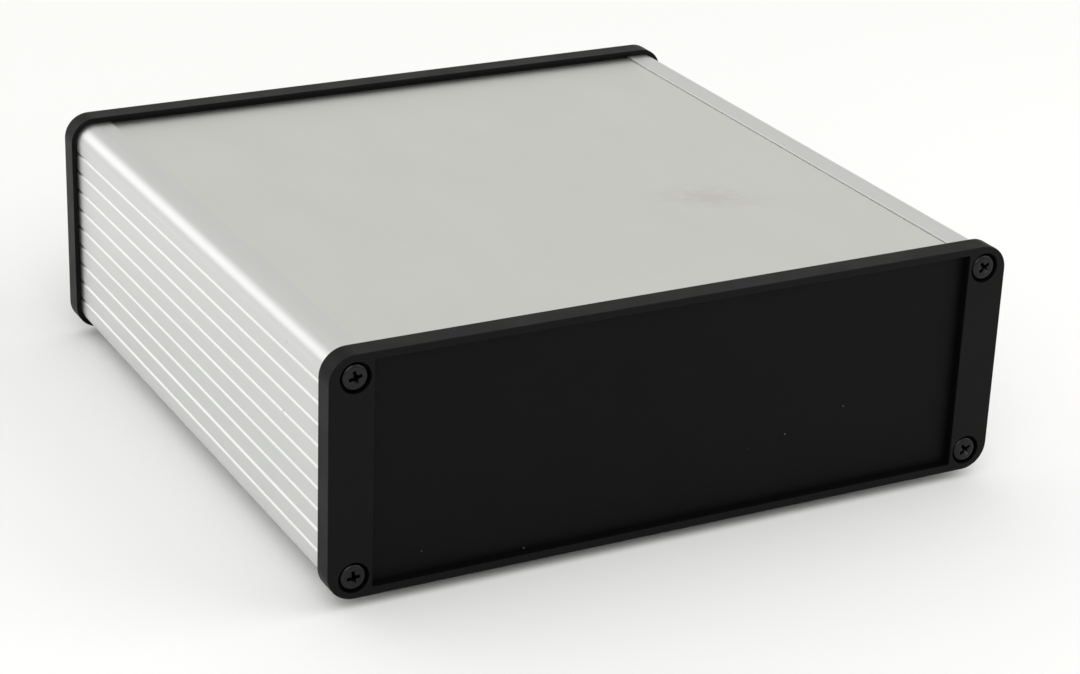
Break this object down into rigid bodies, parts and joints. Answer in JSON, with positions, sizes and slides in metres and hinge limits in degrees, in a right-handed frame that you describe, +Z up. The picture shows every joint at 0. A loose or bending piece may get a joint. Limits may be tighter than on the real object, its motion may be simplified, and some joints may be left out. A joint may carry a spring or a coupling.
{
  "type": "extruded aluminium enclosure",
  "caption": "Low rectangular instrument case: ribbed extruded aluminium channel with a slide-in cover plate, closed at both ends by flat black panels in moulded bezels held by screws.",
  "frame": {"origin": "middle of the footprint, on the plane that the feet stand on", "axes": "+X across the case to the right as seen from its front, +Y from the front end to the rear end, +Z up"},
  "size_m": [0.165, 0.161, 0.0575],
  "materials": {
    "extruded_aluminium": "satin clear anodised extrusion with fine lines along its length",
    "cover_aluminium": "satin clear anodised flat plate with faint drawn grain along its length",
    "bezel_plastic": "moulded plastic with a fine texture",
    "panel_plastic": "moulded plastic with a fine matt texture",
    "screw_steel": "black finished steel, satin",
    "foot_rubber": "matt rubber"
  },
  "bodies": {
    "root": {"body_extrusion": "extruded_aluminium", "cover_plate": "cover_aluminium", "front_bezel": "bezel_plastic", "rear_bezel": "bezel_plastic", "front_panel": "panel_plastic", "rear_panel": "panel_plastic", "front_screw_top_left": "screw_steel", "front_screw_top_right": "screw_steel", "front_screw_bottom_left": "screw_steel", "front_screw_bottom_right": "screw_steel", "rear_screw_top_left": "screw_steel", "rear_screw_top_right": "screw_steel", "rear_screw_bottom_left": "screw_steel", "rear_screw_bottom_right": "screw_steel", "foot_front_left": "foot_rubber", "foot_front_right": "foot_rubber", "foot_rear_left": "foot_rubber", "foot_rear_right": "foot_rubber"}
  },
  "joints": []
}
